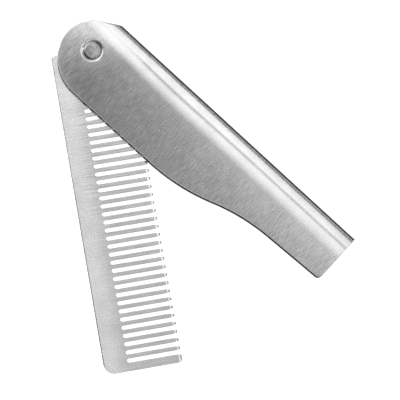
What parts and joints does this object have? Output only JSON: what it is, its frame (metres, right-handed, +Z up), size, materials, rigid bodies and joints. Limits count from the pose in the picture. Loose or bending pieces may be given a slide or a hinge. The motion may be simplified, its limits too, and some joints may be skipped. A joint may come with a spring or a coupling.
{
  "type": "folding comb",
  "caption": "Folding pocket comb of brushed steel: a flat toothed plate swings about one rivet out of a folded sheet sheath with a straight spine, a round head and a narrow tail.",
  "frame": {"origin": "On the rivet's axis, in the plane of the back cheek's outer face, on which the comb lies.", "axes": "+X along the sheath from the rivet to its tail, +Y towards the folded spine, +Z up out of the front cheek."},
  "size_m": [0.0999, 0.0748, 0.0031],
  "materials": {
    "sheath_brushed_steel": "bare stainless steel, brushed across the spine",
    "comb_brushed_steel": "bare stainless steel, brushed along the teeth",
    "rivet_turned_steel": "bare stainless steel, turned smooth"
  },
  "bodies": {
    "handle": {"sheath": "sheath_brushed_steel", "pivot_rivet": "rivet_turned_steel"},
    "comb": {"comb_blade": "comb_brushed_steel"}
  },
  "joints": [
    {"name": "comb_hinge", "type": "hinge", "parent": "handle", "child": "comb", "pos_m": [0, 0, 0.0015], "axis": [0, 0, 1], "range_deg": [-138, 37.4]}
  ]
}
